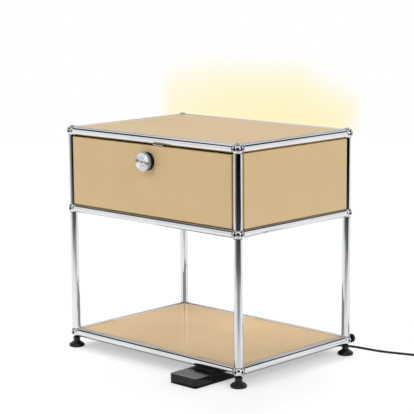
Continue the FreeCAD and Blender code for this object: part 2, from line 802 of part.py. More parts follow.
def plug_body():
    """Flat two-pin plug, six-sided in plan."""
    start = BOOT_L
    middle = start + PLUG_L / 2
    end = start + PLUG_L
    low = -PLUG_T / 2
    outline = [
        (start, -PLUG_NECK_W / 2),
        (middle, -PLUG_W / 2),
        (end, -PLUG_W / 2),
        (end, PLUG_W / 2),
        (middle, PLUG_W / 2),
        (start, PLUG_NECK_W / 2),
    ]
    corners = [vec(x, y, low) for x, y in outline]
    solid = Part.Face(Part.makePolygon(corners + [corners[0]])).extrude(vec(0, 0, PLUG_T))
    solid = fillet_where(solid, PLUG_EDGE, lambda edge: not lies_at(edge, 0, end))
    for side in (1, -1):
        y = side * PIN_PITCH / 2
        solid = solid.cut(rod(PIN_R, vec(end - PIN_ROOT, y, 0), vec(end + OVER, y, 0)))
    return plug_frame(solid)


def plug_pins():
    pins = []
    end = BOOT_L + PLUG_L
    for side in (1, -1):
        y = side * PIN_PITCH / 2
        shank = rod(PIN_R, vec(end - PIN_ROOT, y, 0), vec(end + PIN_L - PIN_R, y, 0))
        tip = Part.makeSphere(PIN_R, vec(end + PIN_L - PIN_R, y, 0))
        pins.append(shank.fuse(tip).removeSplitter())
    return plug_frame(Part.makeCompound(pins))


def build():
    nodes = {"balls_" + level: balls(z) for level, z in LEVELS.items()}
    for name, (start, end) in tube_spans().items():
        nodes[name] = tube(start, end)
    nodes["tube_top_back"] = light_tube()
    nodes["tube_connectors"] = connectors()
    nodes["panel_top"] = flat_panel(TOP)
    nodes["panel_floor"] = flat_panel(MIDDLE)
    nodes["shelf"] = flat_panel(LOW)
    nodes["panel_left"] = side_panel(LEFT)
    nodes["panel_right"] = side_panel(RIGHT)
    nodes["panel_back"] = back_panel()
    nodes["door"] = door()
    nodes["hinge_arm_left"] = hinge_arm(-1)
    nodes["hinge_arm_right"] = hinge_arm(1)
    nodes["knob"] = knob()
    nodes["lock_nut"] = lock_nut()
    nodes["lock_cylinder"] = lock_cylinder()
    nodes["latch_cam"] = latch_cam()
    nodes["keeper"] = keeper()
    for side, x in SIDES.items():
        for row, y in ROWS.items():
            nodes["glide_" + row + "_" + side] = glide(x, y)
    nodes["led_strip"] = led_strip()
    nodes["light_diffuser"] = light_diffuser()
    nodes["power_connector"] = power_connector()
    nodes["link_cord"] = swept(rounded_path(route(LINK_ROUTE), "link_cord"), "link_cord")
    nodes["link_boot"] = boot(vec(LINK_X, DIMMER_Y1, CORD_H), Y_AXIS)
    nodes["dimmer_base"] = dimmer_base()
    nodes["dimmer_housing"] = dimmer_housing()
    nodes["dimmer_pedal"] = dimmer_pedal()
    nodes["dimmer_pin"] = dimmer_pin()
    nodes["lead_boot"] = boot(vec(LEAD_X, DIMMER_Y1, CORD_H), Y_AXIS)
    nodes["lead"] = swept(rounded_path(route(LEAD_ROUTE), "lead"), "lead")
    nodes["lead_coil"] = lead_coil()
    nodes["coil_tie"] = coil_tie()
    nodes["lead_tail"] = swept(rounded_path(tail_route(), "lead_tail"), "lead_tail")
    nodes["plug_boot"] = plug_boot()
    nodes["plug_body"] = plug_body()
    nodes["plug_pins"] = plug_pins()
    return nodes


def main():
    os.makedirs("parts", exist_ok=True)
    for name, shape in build().items():
        shape.exportStep(os.path.join("parts", name + ".step"))


main()
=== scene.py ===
"""Bedside cabinet of chromed tubes and balls with sand-coloured sheet panels, a drop-down door, a
light tube along its top back edge, and a mains lead with a foot dimmer.

Metres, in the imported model's own frame: the door faces -Y, +X is its right side, +Z is up and the
floor is at zero.
"""
import math

import bmesh
import bpy
from mathutils import Matrix, Vector


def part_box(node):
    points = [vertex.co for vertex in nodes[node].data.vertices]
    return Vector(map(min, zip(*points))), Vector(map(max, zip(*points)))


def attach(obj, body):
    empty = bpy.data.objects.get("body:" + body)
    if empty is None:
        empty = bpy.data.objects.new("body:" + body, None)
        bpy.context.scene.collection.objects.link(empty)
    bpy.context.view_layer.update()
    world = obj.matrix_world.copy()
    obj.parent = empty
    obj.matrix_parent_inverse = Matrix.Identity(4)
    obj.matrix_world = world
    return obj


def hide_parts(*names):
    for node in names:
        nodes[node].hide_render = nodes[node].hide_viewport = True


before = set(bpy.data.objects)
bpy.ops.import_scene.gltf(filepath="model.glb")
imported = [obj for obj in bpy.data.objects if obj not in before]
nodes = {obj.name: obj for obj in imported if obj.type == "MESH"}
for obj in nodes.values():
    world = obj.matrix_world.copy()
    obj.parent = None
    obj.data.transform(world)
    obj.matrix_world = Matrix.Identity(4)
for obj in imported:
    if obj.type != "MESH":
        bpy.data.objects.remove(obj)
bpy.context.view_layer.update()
scene = bpy.context.scene
MM = 0.001

# Sizes that the part's source gives, in millimetres
ROW_Y = 4.65
LEFT, RIGHT = -250.0, 250.0
FRONT, BACK = -170.35, 179.65
LOW, MIDDLE, TOP = 33.5, 319.5, 493.5
DOOR_FACE = -179.15
KNOB_Z = 447.5
LOCK_FACE = -196.75
LINK_X, LEAD_X = 140.0, 172.0
CORD_R = 2.5
CORD_H = 8.0
LEAD_OUT = (413.5, 264, 3.5)
COIL_TURNS = 7
COIL_PITCH = 5.6
COIL_LAYER = 5.55
COIL_OUT_R = 37.3
BOOT_L = 22.0


# Colours and materials

# Noise keeps mostly between these two values
MIDTONES = {"From Min": 0.3, "From Max": 0.7}


def linear(hex_colour):
    """An sRGB hex value as the linear colour that the shaders work in."""
    parts = [int(hex_colour[i:i + 2], 16) / 255 for i in (1, 3, 5)]
    return [p / 12.92 if p <= 0.04045 else ((p + 0.055) / 1.055) ** 2.4 for p in parts] + [1.0]


def per_metre(size_mm):
    """The texture scale at which one feature of a pattern is that many millimetres."""
    return 1 / (size_mm * MM)


def add(tree, kind, links=(), **settings):
    """One node with its settings. Each link gives a socket a value, another node's output, or a
    node whose first output it takes."""
    made = tree.nodes.new("ShaderNode" + kind)
    for name, value in settings.items():
        setattr(made, name, value)
    for socket, source in dict(links).items():
        if isinstance(source, bpy.types.Node):
            source = source.outputs[0]
        if isinstance(source, bpy.types.NodeSocket):
            tree.links.new(source, made.inputs[socket])
        else:
            made.inputs[socket].default_value = source
    return made


def blank(name):
    """An empty material of that name and its tree."""
    made = bpy.data.materials.new(name)
    made.use_nodes = True
    made.node_tree.nodes.clear()
    return made, made.node_tree


def chromed(name, dark, light, buffing):
    """Chromium plate over polished steel or brass: a cool mirror with a faint haze where the
    buffing wheel went over it, and a hardly visible waviness that makes the reflected lines waver.
    The polishing lines are drawn 2.2 mm apart, because the real ones are too fine to show."""
    made, tree = blank(name)
    place = add(tree, "TexCoord").outputs["Object"]
    drawn = add(tree, "Mapping", {"Vector": place, "Scale": buffing})
    cloud = add(tree, "TexNoise", {"Vector": drawn, "Scale": per_metre(18), "Detail": 3.0})
    haze = add(tree, "MapRange", {"Value": cloud, **MIDTONES})
    gloss = add(tree, "MapRange", {"Value": haze, "To Min": 0.03, "To Max": 0.07})
    waver = add(tree, "TexNoise", {"Vector": drawn, "Scale": per_metre(14), "Detail": 1.0})
    lines = add(tree, "TexNoise", {"Vector": drawn, "Scale": per_metre(2.2), "Detail": 4.0})
    wave = add(tree, "Bump", {"Height": waver, "Distance": 0.028 * MM, "Strength": 1.0})
    brushed = add(tree, "Bump", {"Height": lines, "Distance": 0.0014 * MM, "Strength": 1.0,
                                 "Normal": wave})
    tint = add(tree, "Mix", {0: haze, 6: linear(dark), 7: linear(light)}, data_type="RGBA")
    plate = add(tree, "BsdfPrincipled", {"Base Color": tint.outputs[2], "Metallic": 1.0,
                                         "Roughness": gloss, "Normal": brushed})
    add(tree, "OutputMaterial", {"Surface": plate})
    return made


def powder_coated(name, dark, light, rough, ior):
    """Polyester powder on steel sheet, stoved at 200 degrees: a satin film whose orange peel of
    about 1.5 mm breaks up the highlights; drawn at 2.5 mm, as fine as the picture can show."""
    made, tree = blank(name)
    place = add(tree, "TexCoord").outputs["Object"]
    cloud = add(tree, "TexNoise", {"Vector": place, "Scale": per_metre(90), "Detail": 3.0})
    grain = add(tree, "TexNoise", {"Vector": place, "Scale": per_metre(0.9), "Detail": 2.0})
    peel = add(tree, "TexNoise", {"Vector": place, "Scale": per_metre(2.5), "Detail": 2.0})
    mottle = add(tree, "Math", {0: cloud, 1: grain}, operation="ADD")
    tone = add(tree, "MapRange", {"Value": mottle, "From Min": 0.7, "From Max": 1.3})
    gloss = add(tree, "MapRange", {"Value": cloud, **MIDTONES, "To Min": rough - 0.03,
                                   "To Max": rough + 0.03})
    film = add(tree, "Bump", {"Height": peel, "Distance": 0.006 * MM, "Strength": 1.0})
    tint = add(tree, "Mix", {0: tone, 6: linear(dark), 7: linear(light)}, data_type="RGBA")
    coat = add(tree, "BsdfPrincipled", {"Base Color": tint.outputs[2], "Roughness": gloss,
                                        "IOR": ior, "Normal": film})
    add(tree, "OutputMaterial", {"Surface": coat})
    return made


def moulded(name, dark, light, rough, grain_mm, grain_depth, ior=1.53, mirror=0.5):
    """A moulded plastic: two close tones where the melt flowed, and the eroded grain of its mould,
    drawn a millimetre or two across because the real grain is too fine to show."""
    made, tree = blank(name)
    place = add(tree, "TexCoord").outputs["Object"]
    melt = add(tree, "TexNoise", {"Vector": place, "Scale": per_metre(35), "Detail": 2.0})
    flow = add(tree, "MapRange", {"Value": melt, **MIDTONES})
    grain = add(tree, "TexNoise", {"Vector": place, "Scale": per_metre(grain_mm), "Detail": 3.0})
    gloss = add(tree, "MapRange", {"Value": grain, **MIDTONES, "To Min": rough - 0.05,
                                   "To Max": rough + 0.05})
    skin = add(tree, "Bump", {"Height": grain, "Distance": 2.5 * grain_depth * MM, "Strength": 1.0})
    tint = add(tree, "Mix", {0: flow, 6: linear(dark), 7: linear(light)}, data_type="RGBA")
    plastic = add(tree, "BsdfPrincipled", {"Base Color": tint.outputs[2], "Roughness": gloss,
                                           "IOR": ior, "Specular IOR Level": mirror,
                                           "Normal": skin})
    add(tree, "OutputMaterial", {"Surface": plastic})
    return made


def plated(name, dark, light, rough, streak):
    """A dull plated or drawn metal whose grain runs one way, drawn 1.2 mm apart because the real
    grain is too fine to show."""
    made, tree = blank(name)
    place = add(tree, "TexCoord").outputs["Object"]
    drawn = add(tree, "Mapping", {"Vector": place, "Scale": streak})
    stain = add(tree, "TexNoise", {"Vector": place, "Scale": per_metre(6), "Detail": 3.0})
    bloom = add(tree, "MapRange", {"Value": stain, **MIDTONES})
    lines = add(tree, "TexNoise", {"Vector": drawn, "Scale": per_metre(1.2), "Detail": 3.0})
    gloss = add(tree, "MapRange", {"Value": bloom, "To Min": rough - 0.06, "To Max": rough + 0.06})
    grain = add(tree, "Bump", {"Height": lines, "Distance": 0.01 * MM, "Strength": 1.0})
    tint = add(tree, "Mix", {0: bloom, 6: linear(dark), 7: linear(light)}, data_type="RGBA")
    metal = add(tree, "BsdfPrincipled", {"Base Color": tint.outputs[2], "Metallic": 1.0,
                                         "Roughness": gloss, "Normal": grain})
    add(tree, "OutputMaterial", {"Surface": metal})
    return made


def foot_pad():
    """Injection-moulded black ABS whose top has a painted sheen, palest towards its front and
    fading out towards its rear, where the shelf above shades it; its sides keep the deep black of
    the mould.
    The sheen's streaks are drawn 2.5 mm wide and five times as long, and the grain 1.2 mm across,
    to show at all."""
    made, tree = blank("black_abs_pad_painted_sheen")
    place = add(tree, "TexCoord").outputs["Object"]
    # Painted sheen: only the top is made paler, most at its front
    up = add(tree, "SeparateXYZ", {0: add(tree, "NewGeometry").outputs["Normal"]}).outputs["Z"]
    top = add(tree, "MapRange", {"Value": up, "From Min": 0.8, "From Max": 0.97})
    back = add(tree, "SeparateXYZ", {0: place}).outputs["Y"]
    front = add(tree, "MapRange", {"Value": back, "From Min": -0.236, "From Max": -0.186,
                                   "To Min": 1.0, "To Max": 0.0},
                interpolation_type="SMOOTHSTEP")
    # Streaks in the painted sheen
    sheen_streaks = add(tree, "Mapping", {"Vector": place, "Scale": (1, 0.2, 1)})
    sheen_streaks = add(tree, "TexNoise", {"Vector": sheen_streaks, "Scale": per_metre(2.5), "Detail": 3.0})
    sheen_streaks = add(tree, "MapRange", {"Value": sheen_streaks, **MIDTONES, "To Min": 0.75})
    painted_sheen = add(tree, "Math", {0: top, 1: front}, operation="MULTIPLY")
    painted_sheen = add(tree, "Math", {0: painted_sheen, 1: sheen_streaks}, operation="MULTIPLY")
    tint = add(tree, "Mix", {0: painted_sheen, 6: linear("#0A0C0F"), 7: linear("#646669")},
               data_type="RGBA")
    grain = add(tree, "TexNoise", {"Vector": place, "Scale": per_metre(1.2), "Detail": 3.0})
    gloss = add(tree, "MapRange", {"Value": grain, **MIDTONES, "To Min": 0.14, "To Max": 0.22})
    skin = add(tree, "Bump", {"Height": grain, "Distance": 0.005 * MM, "Strength": 1.0})
    plastic = add(tree, "BsdfPrincipled", {"Base Color": tint.outputs[2], "Roughness": gloss,
                                           "IOR": 1.53, "Specular IOR Level": 0.25,
                                           "Normal": skin})
    add(tree, "OutputMaterial", {"Surface": plastic})
    return made


def turned_steel_face():
    """Stainless steel cut on a lathe: rings of feed lines round the knob's axis, and two bright and
    two dark fans painted into its colour by angle round the axis, as painted highlights and painted
    shade where such rings draw them out of soft light. The rings are drawn 0.8 mm apart, because
    the real feed is too fine to show."""
    made, tree = blank("stainless_steel_turned_painted_fans")
    place = add(tree, "TexCoord").outputs["Object"]
    centred = add(tree, "VectorMath", {0: place, 1: (0.0, 0.0, KNOB_Z * MM)},
                  operation="SUBTRACT")
    flat = add(tree, "VectorMath", {0: centred, 1: (1.0, 0.0, 1.0)}, operation="MULTIPLY")
    radius = add(tree, "VectorMath", {0: flat}, operation="LENGTH").outputs["Value"]
    spoke = add(tree, "VectorMath", {0: flat}, operation="NORMALIZE")
    toward_shade_fan = add(tree, "VectorMath", {0: spoke, 1: (0.1, 0.0, 0.995)}, operation="DOT_PRODUCT")
    toward_shade_fan = add(tree, "Math", {0: toward_shade_fan.outputs["Value"]}, operation="ABSOLUTE")
    painted_shade_fan = add(tree, "MapRange", {"Value": toward_shade_fan, "From Min": 0.03, "From Max": 0.34,
                                      "To Min": 1.0, "To Max": 0.0},
                   interpolation_type="SMOOTHSTEP")
    toward_highlight_fan = add(tree, "VectorMath", {0: spoke, 1: (0.87, 0.0, 0.49)}, operation="DOT_PRODUCT")
    toward_highlight_fan = add(tree, "Math", {0: toward_highlight_fan.outputs["Value"]}, operation="ABSOLUTE")
    painted_highlight_fan = add(tree, "MapRange", {"Value": toward_highlight_fan, "From Min": 0.84, "From Max": 0.98},
                    interpolation_type="SMOOTHSTEP")
    feed = add(tree, "Math", {0: radius, 1: 2 * math.pi * per_metre(0.8)}, operation="MULTIPLY")
    lines = add(tree, "Math", {0: feed}, operation="SINE")
    stain = add(tree, "TexNoise", {"Vector": place, "Scale": per_metre(4), "Detail": 2.0})
    haze = add(tree, "MapRange", {"Value": stain, **MIDTONES})
    cut = add(tree, "Bump", {"Height": lines, "Distance": 0.004 * MM, "Strength": 0.5})
    steel = add(tree, "Mix", {0: haze, 6: linear("#D4D6DA"), 7: linear("#E2E4E8")},
                data_type="RGBA")
    # Painted shade and painted highlight: the steel's colour is darkened in two fans and lightened
    # in two others
    steel = add(tree, "Mix", {0: painted_shade_fan, 6: steel.outputs[2], 7: linear("#8A8D94")},
                data_type="RGBA")
    steel = add(tree, "Mix", {0: painted_highlight_fan, 6: steel.outputs[2], 7: linear("#FFFFFF")},
                data_type="RGBA")
    grain = add(tree, "Tangent", direction_type="RADIAL", axis="Y")
    metal = add(tree, "BsdfPrincipled", {"Base Color": steel.outputs[2], "Metallic": 1.0,
                                         "Roughness": 0.34, "Anisotropic": 0.9,
                                         "Anisotropic Rotation": 0.25, "Tangent": grain,
                                         "Normal": cut})
    add(tree, "OutputMaterial", {"Surface": metal})
    return made


def opal_cover():
    """Extruded opal polycarbonate over warm white diodes: an even, milky, warm glow that is a shade
    brighter over each diode, 16 mm from one to the next."""
    made, tree = blank("opal_polycarbonate_extruded")
    place = add(tree, "TexCoord").outputs["Object"]
    cells = add(tree, "TexNoise", {"Vector": place, "Scale": per_metre(16), "Detail": 1.0})
    patches = add(tree, "MapRange", {"Value": cells, **MIDTONES})
    body = add(tree, "Mix", {0: patches, 6: linear("#EFE6CF"), 7: linear("#F6EEDA")},
               data_type="RGBA")
    glow = add(tree, "Mix", {0: patches, 6: linear("#FFE9B4"), 7: linear("#FFEFC4")},
               data_type="RGBA")
    cover = add(tree, "BsdfPrincipled", {"Base Color": body.outputs[2], "Roughness": 0.35,
                                         "IOR": 1.58, "Emission Color": glow.outputs[2],
                                         "Emission Strength": 2.5})
    add(tree, "OutputMaterial", {"Surface": cover})
    return made


# Cool, bright chromium; each tube was buffed along its length, and the balls all round
chrome_x = chromed("chromed_steel_tube_x", "#D4D6D8", "#E2E4E6", (0.15, 1, 1))
chrome_y = chromed("chromed_steel_tube_y", "#D4D6D8", "#E2E4E6", (1, 0.15, 1))
chrome_z = chromed("chromed_steel_tube_z", "#D4D6D8", "#E2E4E6", (1, 1, 0.15))
chrome_ball = chromed("chromed_brass_ball", "#D0D2D4", "#DEE0E2", (1, 1, 1))
# Warm satin beige; use has rubbed the shelf smoother, so that it mirrors the uprights faintly
sand_powder = powder_coated("powder_coated_steel_sand", "#CBAF80", "#D2B688", 0.40, 1.45)
shelf_powder = powder_coated("powder_coated_steel_sand_rubbed", "#CBAF80", "#D2B688", 0.15, 1.40)
# The knob's silvery face with its painted highlight and shade fans, its bluish grey sides that are
# a painted reflection, and the pale, soft shine of the lock
turned_steel = turned_steel_face()
# Painted reflection: the rim's bluish grey stands in for what its steel would mirror
rim_painted_reflection = moulded("knob_rim_grey_painted_reflection", "#7F8392", "#8D91A1", 0.3, 1.0, 0.0003)
lock_nickel = plated("nickel_plated_brass_lock", "#D2D4D6", "#E2E4E6", 0.28, (1, 0.2, 1))
# Dull grey fittings inside, and threads whose dark tone is partly painted shade, so that they look
# black in their holes
zinc = plated("zinc_plated_steel", "#A9ADB2", "#BCC0C4", 0.36, (1, 1, 0.2))
thread_steel_painted_shade = plated("oiled_steel_thread_painted_shade", "#26282B", "#34373A", 0.5, (1, 1, 1))
# Blacks from shiny to dull: glides, dimmer, cord, plug and strap, then the dimmer's pad with its
# painted sheen
polyamide = moulded("black_polyamide_glide", "#05070A", "#0A0D11", 0.2, 1.4, 0.003, mirror=0.36)
grained_abs = moulded("black_abs_grained", "#06080B", "#0B0E12", 0.34, 1.6, 0.004, mirror=0.22)
soft_pvc = moulded("black_pvc_cord", "#07080A", "#0D0E10", 0.36, 2.0, 0.004, 1.52, mirror=0.35)
rubber = moulded("black_moulded_plug_pvc", "#111112", "#18181A", 0.42, 1.2, 0.006, 1.52)
hook_tape = moulded("black_hook_and_loop_tape", "#121213", "#1D1D1F", 0.85, 0.8, 0.05)
pad_abs_painted_sheen = foot_pad()
# Flat white board under the milky cover
board = moulded("white_circuit_board", "#D8DAD6", "#E6E8E4", 0.5, 1.0, 0.002)
opal = opal_cover()


def dress(material, *names):
    """Gives the solids of those names their material."""
    for name in names:
        nodes[name].data.materials.clear()
        nodes[name].data.materials.append(material)


for level in ("bottom", "middle", "top"):
    dress(chrome_ball, "balls_" + level)
    dress(chrome_x, "tube_" + level + "_front", "tube_" + level + "_back")
    dress(chrome_y, "tube_" + level + "_left", "tube_" + level + "_right")
for storey in ("lower", "upper"):
    for row in ("front", "back"):
        post = "post_" + storey + "_" + row
        dress(chrome_z, post + "_left", post + "_right")
dress(sand_powder, "panel_top", "panel_floor", "panel_left", "panel_right", "panel_back", "door")
dress(shelf_powder, "shelf")
dress(zinc, "tube_connectors", "hinge_arm_left", "hinge_arm_right", "lock_nut", "latch_cam",
      "dimmer_pin")
dress(chrome_x, "keeper")
dress(lock_nickel, "lock_cylinder", "plug_pins")
dress(polyamide, "glide_front_left", "glide_front_right", "glide_back_left", "glide_back_right")
dress(board, "led_strip")
dress(opal, "light_diffuser")
dress(grained_abs, "power_connector", "dimmer_base", "dimmer_housing")
dress(pad_abs_painted_sheen, "dimmer_pedal")
dress(hook_tape, "coil_tie")


# Camera

# Fitted to the balls' centres and the panels' borders: place in metres, turns in degrees
CAMERA_PLACE = Vector((2.301371, -2.400501, 0.883223))
CAMERA_YAW, CAMERA_PITCH, CAMERA_ROLL = 43.789, 9.502, 0.422
SENSOR_MM = 36.0
LENS_MM = 132.536
PICTURE = 414


def camera_ways():
    """Forward, level and downward directions of the camera before its roll."""
    yaw, pitch = math.radians(CAMERA_YAW), math.radians(CAMERA_PITCH)
    ahead = Vector((-math.sin(yaw) * math.cos(pitch), math.cos(yaw) * math.cos(pitch),
                    -math.sin(pitch)))
    level = Vector((math.cos(yaw), math.sin(yaw), 0))
    return ahead, level, ahead.cross(level)


AHEAD, LEVEL, DOWN = camera_ways()


def set_camera():
    """The photograph's own view."""
    roll = math.radians(CAMERA_ROLL)
    across = LEVEL * math.cos(roll) + DOWN * math.sin(roll)
    below = -LEVEL * math.sin(roll) + DOWN * math.cos(roll)
    camera = bpy.data.objects.new("camera", bpy.data.cameras.new("camera"))
    scene.collection.objects.link(camera)
    turn = Matrix((across, -below, -AHEAD)).transposed()
    camera.matrix_world = Matrix.Translation(CAMERA_PLACE) @ turn.to_4x4()
    camera.data.sensor_width = SENSOR_MM
    camera.data.lens = LENS_MM
    scene.camera = camera


set_camera()


# Cords

def grid_points(*points):
    """Points of a route in metres, from millimetres counted from the middle of the balls' grid."""
    return [Vector((x, y + ROW_Y, z)) * MM for x, y, z in points]


def cord_curve(name, points, material):
    """A smooth round cord along its route's points."""
    curve = bpy.data.curves.new(name, "CURVE")
    curve.dimensions = "3D"
    curve.bevel_depth = CORD_R * MM
    curve.bevel_resolution = 5
    curve.use_fill_caps = True
    curve.resolution_u = 5
    spline = curve.splines.new("NURBS")
    spline.points.add(len(points) - 1)
    for point, place in zip(spline.points, points):
        point.co = (*place, 1.0)
    spline.order_u = 3
    spline.use_endpoint_u = True
    spline.use_smooth = True
    curve.materials.append(material)
    made = bpy.data.objects.new(name, curve)
    scene.collection.objects.link(made)
    return made


link_route = grid_points(
    (237, 194.5, 33.5), (212, 194.5, 33.5), (187, 194, 27.5), (163, 189.5, 16), (144, 174.5, 6),
    (135, 147, 2.6), (131, 106, 2.5), (135, 57, 2.5), (141, 7, 2.5), (139.5, -34, 2.6),
    (LINK_X, -67, CORD_H), (LINK_X, -91, CORD_H))
lead_route = grid_points(
    (LEAD_X, -91, CORD_H), (LEAD_X, -67, CORD_H), (171.5, -34, 2.6), (169, 16, 2.5),
    (173, 65, 2.5), (171, 112, 2.5), (172, 157, 2.5), (178.5, 193.5, 2.5), (194, 219, 2.5),
    (218, 231.5, 2.5), (250, 236.5, 2.5), (294, 239.5, 2.5), (331, 251, 2.5), (369, 265, 2.7),
    (393, 266.5, 3.5), LEAD_OUT)


def coil_radius(turn):
    """The coil draws in to its middle turn and widens again."""
    return COIL_OUT_R - COIL_PITCH * min(turn, COIL_TURNS - turn)


def coil_point(turn, start):
    """A point of the put-away coil: it spirals in, climbs on top of itself and spirals out."""
    lean = math.atan(COIL_PITCH / (2 * math.pi * COIL_OUT_R))
    angle = 2 * math.pi * turn - math.pi / 2 - lean
    climb = min(max(2 * (turn - COIL_TURNS / 2) + 0.5, 0), 1)
    rise = COIL_LAYER * climb ** 2 * (3 - 2 * climb)
    centre = start + Vector((COIL_OUT_R * math.sin(lean), COIL_OUT_R * math.cos(lean), 0))
    reach = coil_radius(turn)
    return centre + Vector((reach * math.cos(angle), reach * math.sin(angle), rise))


POINTS_A_TURN = 16
coil_start = Vector(LEAD_OUT) + Vector((2 * CORD_R, ROW_Y, 0))
coil_route = [coil_point(step / POINTS_A_TURN, coil_start) * MM
              for step in range(POINTS_A_TURN * COIL_TURNS + 1)]
coil_end = coil_point(COIL_TURNS, coil_start)
way_out = (coil_end - coil_point(COIL_TURNS - 1e-4, coil_start)).normalized()
tail_start = coil_end + way_out * 2 * CORD_R
tail_route = [tail_start + way_out * 20] + [tail_start + Vector(step) for step in (
    (42, 3, -1.6), (58, 17.5, -2.55), (64, 38, -2.55))]
plug_start = tail_route[-1]
plug_way = (tail_route[-1] - tail_route[-2]).normalized()

link = cord_curve("link_lead_pvc", link_route, soft_pvc)
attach(link, "cabinet")
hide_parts("link_cord")
lead = cord_curve("mains_lead_pvc",
                  lead_route + coil_route + [point * MM for point in tail_route], soft_pvc)
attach(lead, "cabinet")
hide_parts("lead", "lead_coil", "lead_tail")


# Pieces in mesh code

def across_of(way):
    """Two directions square to a direction and to each other."""
    helper = Vector((0, 0, 1)) if abs(way.z) < 0.9 else Vector((1, 0, 0))
    first = way.cross(helper).normalized()
    return first, way.cross(first)


def piece(name, corners, faces, material, body, slot, *replaced, crease=35):
    """A finished piece from corners in millimetres, on its body, in place of the solids it stands
    for."""
    mesh = bpy.data.meshes.new(name)
    mesh.from_pydata([Vector(corner) * MM for corner in corners], [], faces)
    shape = bmesh.new()
    shape.from_mesh(mesh)
    bmesh.ops.remove_doubles(shape, verts=shape.verts, dist=0.002 * MM)
    bmesh.ops.recalc_face_normals(shape, faces=shape.faces)
    shape.to_mesh(mesh)
    shape.free()
    mesh.materials.append(material)
    mesh.shade_smooth()
    mesh.set_sharp_from_angle(angle=math.radians(crease))
    made = bpy.data.objects.new(name, mesh)
    scene.collection.objects.link(made)
    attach(made, body)
    if replaced:
        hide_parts(*replaced)
    return made


def ring_faces(rings, steps):
    """Faces between rings of corners that follow one another."""
    faces = []
    for ring in range(rings - 1):
        near, far = ring * steps, (ring + 1) * steps
        for step in range(steps):
            after = (step + 1) % steps
            faces.append((near + step, near + after, far + after, far + step))
    return faces


def sheet_faces(rows, columns):
    """Faces of an open sheet whose corners run row by row."""
    faces = []
    for row in range(rows - 1):
        near, far = row * columns, (row + 1) * columns
        faces += [(near + c, near + c + 1, far + c + 1, far + c) for c in range(columns - 1)]
    return faces


def turned_rings(profile, centre, way, steps=48, flutes=0, flute_depth=0.0):
    """Corners and faces of a profile of (radius, distance along) turned round a line."""
    first, second = across_of(way)
    corners = []
    for radius, along in profile:
        for step in range(steps):
            turn = 2 * math.pi * step / steps
            cut = flute_depth * (0.5 - 0.5 * math.cos(flutes * turn)) if flutes else 0.0
            outward = first * math.cos(turn) + second * math.sin(turn)
            corners.append(centre + way * along + outward * max(radius - cut, 0.0))
    return corners, ring_faces(len(profile), steps)


def joined(parts):
    """Several sets of corners and faces as one."""
    corners, faces = [], []
    for more_corners, more_faces in parts:
        shift = len(corners)
        corners += more_corners
        faces += [tuple(index + shift for index in face) for face in more_faces]
    return corners, faces


def thread_profile(start, end, crest, root, pitch):
    """Zigzag of a screw thread's section between two distances along it."""
    count = int((end - start) / pitch)
    points = []
    for turn in range(count):
        points += [(crest, start + pitch * turn), (root, start + pitch * (turn + 0.5))]
    return points + [(crest, start + pitch * count)]


def knob_pieces():
    """Drop-down door's knob: a turned steel disc, dished a little, on a black rose, with a black
    ring round the lock and a threaded shank through the door."""
    centre = Vector((0, DOOR_FACE, KNOB_Z))
    out = Vector((0, -1, 0))

    def turned_piece(name, profile, steps, material):
        piece(name, *turned_rings(profile, centre, out, steps), material, "door", "knob", "knob")

    turned_piece("knob_turned_steel", [
        (8.55, 16.6), (8.55, 17.35), (8.8, 17.6), (11.5, 17.58), (14.5, 17.6), (17.6, 17.86),
        (18.9, 18.0), (19.35, 17.93), (19.75, 17.65), (19.95, 17.2), (20.0, 16.8)],
        96, turned_steel)
    turned_piece("knob_rim_steel", [
        (20.0, 16.8), (20.0, 11.0), (19.85, 10.4), (19.4, 10.05), (18.4, 9.85)],
        96, rim_painted_reflection)
    turned_piece("knob_rose_black", [
        (18.5, 9.9), (17.2, 9.3), (16.2, 8.4), (15.6, 7.4), (15.6, 6.4), (16.2, 5.2), (17.4, 4.1),
        (18.5, 3.2), (19.1, 2.6), (19.4, 2.0), (19.5, 1.5), (19.5, 0.02)],
        72, grained_abs)
    turned_piece("lock_ring_black", [
        (8.12, 16.8), (8.12, 17.25), (8.3, 17.42), (8.4, 17.42), (8.54, 17.25), (8.54, 16.8)],
        64, grained_abs)
    turned_piece("knob_shank_zinc", [
        (8.1, -10.0), (9.3, -10.0), *thread_profile(-9.6, -1.1, 9.95, 9.3, 1.25)],
        48, zinc)


def keyway_painted_shade():
    """Mouth and wards of the lock's keyway in black, as painted shade: a black slot in its bright
    face.
    """
    tilt, steps = math.radians(12), 24
    # Half width, half height and depth of each ring, from the mouth's edge to the slot's end
    rings = ((4.7, 1.4, 0.0), (4.65, 1.35, -0.03), (3.7, 0.76, -0.03), (3.66, 0.74, 0.2),
             (3.66, 0.74, 3.0))
    corners = []
    for half_width, half_height, depth in rings:
        for step in range(steps):
            turn = 2 * math.pi * (step + 0.5) / steps
            straight = math.copysign(half_width - half_height, math.cos(turn))
            x = half_height * math.cos(turn) + straight
            z = half_height * math.sin(turn)
            corners.append(Vector((x * math.cos(tilt) + z * math.sin(tilt), LOCK_FACE + depth,
                                   KNOB_Z - x * math.sin(tilt) + z * math.cos(tilt))))
    end = tuple(range(len(corners) - 1, len(corners) - 1 - steps, -1))
    faces = [end] + ring_faces(len(rings), steps)
    piece("lock_keyway_black_painted_shade", corners, faces, grained_abs, "lock", "lock_cylinder")


def free_ports():
    """Ball centre and direction of each threaded port that nothing is screwed into, by level."""
    ports = []
    for level, z in (("bottom", LOW), ("middle", MIDDLE), ("top", TOP)):
        for x in (LEFT, RIGHT):
            for y in (FRONT, BACK):
                centre = Vector((x, y, z))
                ports.append((level, centre, Vector((math.copysign(1, x), 0, 0))))
                plugged = level == "bottom" and x == RIGHT and y == BACK
                if not plugged:
                    ports.append((level, centre, Vector((0, -1 if y == FRONT else 1, 0))))
                if level == "top":
                    ports.append((level, centre, Vector((0, 0, 1))))
    return ports


